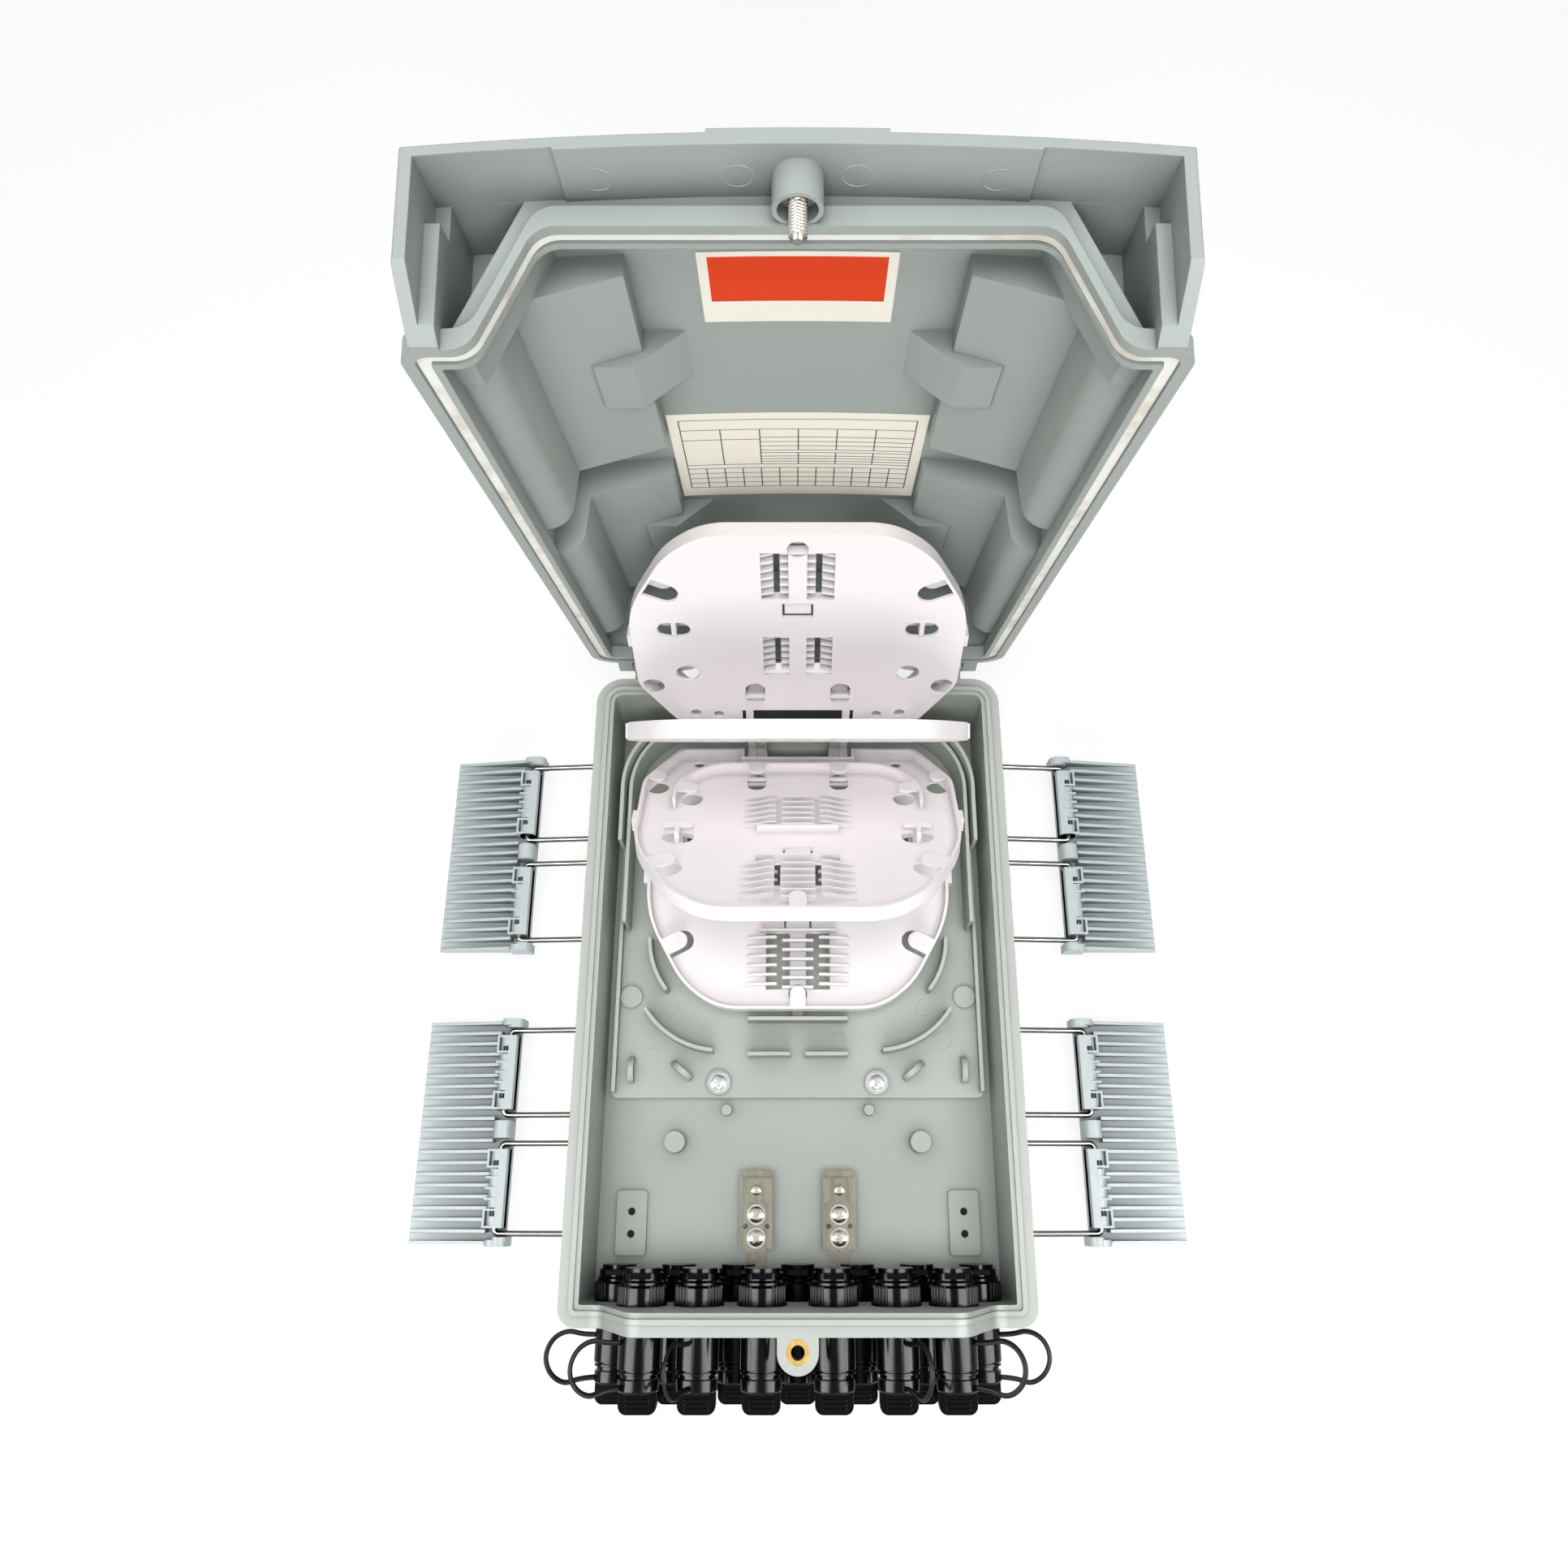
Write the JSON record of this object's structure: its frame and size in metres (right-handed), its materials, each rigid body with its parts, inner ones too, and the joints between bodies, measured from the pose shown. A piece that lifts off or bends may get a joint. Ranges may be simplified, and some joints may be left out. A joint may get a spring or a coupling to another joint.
{
  "type": "fibre splice box",
  "caption": "Wall box for fibre splices: hinged hooded lid with side latches, swing-up splice trays, cable clamps and capped bulkhead adapters through a raised end.",
  "frame": {"origin": "centre of the flat back face, which lies on the wall or table", "axes": "+Z out of the back face towards the lid, +Y along the box from the adapter end to the lid hinge"},
  "size_m": [0.3944, 0.4318, 0.4227],
  "materials": {
    "shell_grey": "satin moulded",
    "lid_grey": "satin moulded",
    "latch_grey": "satin moulded",
    "tray_white": "satin moulded",
    "gasket_white": "soft foam",
    "sheet_steel": "rolled",
    "wire_steel": "drawn",
    "nickel": "plated",
    "brass": "turned",
    "black_plastic": "gloss moulded",
    "black_rubber": "matt",
    "band_card": "printed film",
    "log_card": "printed film"
  },
  "bodies": {
    "base": {"base_shell": "shell_grey", "lock_insert": "brass", "hinge_pin_left": "nickel", "hinge_pin_right": "nickel", "carrier_plate": "shell_grey", "carrier_screws": "nickel", "tray_tower": "shell_grey", "clamp_strip_left": "sheet_steel", "clamp_strip_right": "sheet_steel", "clamp_bridge_left": "sheet_steel", "clamp_bridge_right": "sheet_steel", "clamp_screws": "nickel", "adapter_bodies_lower": "black_plastic", "adapter_bodies_upper": "black_plastic", "adapter_nuts": "black_plastic", "adapter_seals": "black_rubber", "cap_tether_1": "black_rubber", "cap_tether_2": "black_rubber", "cap_tether_3": "black_rubber", "cap_tether_4": "black_rubber", "cap_tether_5": "black_rubber", "cap_tether_6": "black_rubber"},
    "lid": {"lid_shell": "lid_grey", "lid_gasket": "gasket_white", "upper_label": "band_card", "log_label": "log_card"},
    "lock": {"lock_screw": "nickel"},
    "tray_1": {"splice_tray_1": "tray_white"},
    "tray_2": {"splice_tray_2": "tray_white"},
    "tray_3": {"splice_tray_3": "tray_white"},
    "tray_4": {"splice_tray_4": "tray_white"},
    "bails_right_near": {"latch_bails_right_near": "wire_steel"},
    "lever_right_near": {"latch_lever_right_near": "latch_grey"},
    "bails_right_far": {"latch_bails_right_far": "wire_steel"},
    "lever_right_far": {"latch_lever_right_far": "latch_grey"},
    "bails_left_near": {"latch_bails_left_near": "wire_steel"},
    "lever_left_near": {"latch_lever_left_near": "latch_grey"},
    "bails_left_far": {"latch_bails_left_far": "wire_steel"},
    "lever_left_far": {"latch_lever_left_far": "latch_grey"},
    "cap_01": {"dust_cap_01": "black_plastic"},
    "cap_02": {"dust_cap_02": "black_plastic"},
    "cap_03": {"dust_cap_03": "black_plastic"},
    "cap_04": {"dust_cap_04": "black_plastic"},
    "cap_05": {"dust_cap_05": "black_plastic"},
    "cap_06": {"dust_cap_06": "black_plastic"},
    "cap_07": {"dust_cap_07": "black_plastic"},
    "cap_08": {"dust_cap_08": "black_plastic"},
    "cap_09": {"dust_cap_09": "black_plastic"},
    "cap_10": {"dust_cap_10": "black_plastic"},
    "cap_11": {"dust_cap_11": "black_plastic"},
    "cap_12": {"dust_cap_12": "black_plastic"},
    "cap_13": {"dust_cap_13": "black_plastic"}
  },
  "joints": [
    {"name": "lid_hinge", "type": "hinge", "parent": "base", "child": "lid", "pos_m": [0, 0.178, 0.053], "axis": [1, 0, 0], "range_deg": [0, 80]},
    {"name": "lock_turn", "type": "hinge", "parent": "lid", "child": "lock", "pos_m": [0, 0.16299, 0.4088], "axis": [0, 0.9848, 0.1736], "continuous": true},
    {"name": "tray_1_hinge", "type": "hinge", "parent": "base", "child": "tray_1", "pos_m": [0, 0.1332, 0.0293], "axis": [1, 0, 0], "range_deg": [-25, 0]},
    {"name": "tray_2_hinge", "type": "hinge", "parent": "base", "child": "tray_2", "pos_m": [0, 0.1332, 0.03975], "axis": [1, 0, 0], "range_deg": [0, 36.4]},
    {"name": "tray_3_hinge", "type": "hinge", "parent": "base", "child": "tray_3", "pos_m": [0, 0.1332, 0.0502], "axis": [1, 0, 0], "range_deg": [0, 69.5]},
    {"name": "tray_4_hinge", "type": "hinge", "parent": "base", "child": "tray_4", "pos_m": [0, 0.1332, 0.06065], "axis": [1, 0, 0], "range_deg": [0, 105.2]},
    {"name": "bails_right_near_swing", "type": "hinge", "parent": "base", "child": "bails_right_near", "pos_m": [0.1105, -0.078, 0.042], "axis": [0, -1, 0], "range_deg": [0, 95.5]},
    {"name": "lever_right_near_fold", "type": "hinge", "parent": "bails_right_near", "child": "lever_right_near", "pos_m": [0.15268, -0.078, 0.03141], "axis": [0, -1, 0], "range_deg": [0, 84.5]},
    {"name": "bails_right_far_swing", "type": "hinge", "parent": "base", "child": "bails_right_far", "pos_m": [0.1105, 0.0705, 0.042], "axis": [0, -1, 0], "range_deg": [0, 95.5]},
    {"name": "lever_right_far_fold", "type": "hinge", "parent": "bails_right_far", "child": "lever_right_far", "pos_m": [0.15268, 0.0705, 0.03141], "axis": [0, -1, 0], "range_deg": [0, 84.5]},
    {"name": "bails_left_near_swing", "type": "hinge", "parent": "base", "child": "bails_left_near", "pos_m": [-0.1105, -0.078, 0.042], "axis": [0, 1, 0], "range_deg": [0, 95.5]},
    {"name": "lever_left_near_fold", "type": "hinge", "parent": "bails_left_near", "child": "lever_left_near", "pos_m": [-0.15268, -0.078, 0.03141], "axis": [0, 1, 0], "range_deg": [0, 84.5]},
    {"name": "bails_left_far_swing", "type": "hinge", "parent": "base", "child": "bails_left_far", "pos_m": [-0.1105, 0.0705, 0.042], "axis": [0, 1, 0], "range_deg": [0, 95.5]},
    {"name": "lever_left_far_fold", "type": "hinge", "parent": "bails_left_far", "child": "lever_left_far", "pos_m": [-0.15268, 0.0705, 0.03141], "axis": [0, 1, 0], "range_deg": [0, 84.5]},
    {"name": "cap_01_turn", "type": "hinge", "parent": "base", "child": "cap_01", "pos_m": [-0.09, -0.195, 0.022], "axis": [0, 1, 0], "range_deg": [0, 90]},
    {"name": "cap_02_turn", "type": "hinge", "parent": "base", "child": "cap_02", "pos_m": [-0.06, -0.195, 0.022], "axis": [0, 1, 0], "range_deg": [0, 90]},
    {"name": "cap_03_turn", "type": "hinge", "parent": "base", "child": "cap_03", "pos_m": [-0.03, -0.195, 0.022], "axis": [0, 1, 0], "range_deg": [0, 90]},
    {"name": "cap_04_turn", "type": "hinge", "parent": "base", "child": "cap_04", "pos_m": [0, -0.195, 0.022], "axis": [0, 1, 0], "range_deg": [0, 90]},
    {"name": "cap_05_turn", "type": "hinge", "parent": "base", "child": "cap_05", "pos_m": [0.03, -0.195, 0.022], "axis": [0, 1, 0], "range_deg": [0, 90]},
    {"name": "cap_06_turn", "type": "hinge", "parent": "base", "child": "cap_06", "pos_m": [0.06, -0.195, 0.022], "axis": [0, 1, 0], "range_deg": [0, 90]},
    {"name": "cap_07_turn", "type": "hinge", "parent": "base", "child": "cap_07", "pos_m": [0.09, -0.195, 0.022], "axis": [0, 1, 0], "range_deg": [0, 90]},
    {"name": "cap_08_turn", "type": "hinge", "parent": "base", "child": "cap_08", "pos_m": [-0.0745, -0.195, 0.051], "axis": [0, 1, 0], "range_deg": [0, 90]},
    {"name": "cap_09_turn", "type": "hinge", "parent": "base", "child": "cap_09", "pos_m": [-0.04708, -0.195, 0.051], "axis": [0, 1, 0], "range_deg": [0, 90]},
    {"name": "cap_10_turn", "type": "hinge", "parent": "base", "child": "cap_10", "pos_m": [-0.01699, -0.195, 0.051], "axis": [0, 1, 0], "range_deg": [0, 90]},
    {"name": "cap_11_turn", "type": "hinge", "parent": "base", "child": "cap_11", "pos_m": [0.01699, -0.195, 0.051], "axis": [0, 1, 0], "range_deg": [0, 90]},
    {"name": "cap_12_turn", "type": "hinge", "parent": "base", "child": "cap_12", "pos_m": [0.04708, -0.195, 0.051], "axis": [0, 1, 0], "range_deg": [0, 90]},
    {"name": "cap_13_turn", "type": "hinge", "parent": "base", "child": "cap_13", "pos_m": [0.0745, -0.195, 0.051], "axis": [0, 1, 0], "range_deg": [0, 90]}
  ],
  "couplings": [
    {"joint": "tray_2_hinge", "follows": "lid_hinge", "ratio": 0.455},
    {"joint": "tray_3_hinge", "follows": "lid_hinge", "ratio": 0.86875},
    {"joint": "tray_4_hinge", "follows": "lid_hinge", "ratio": 1.315}
  ]
}
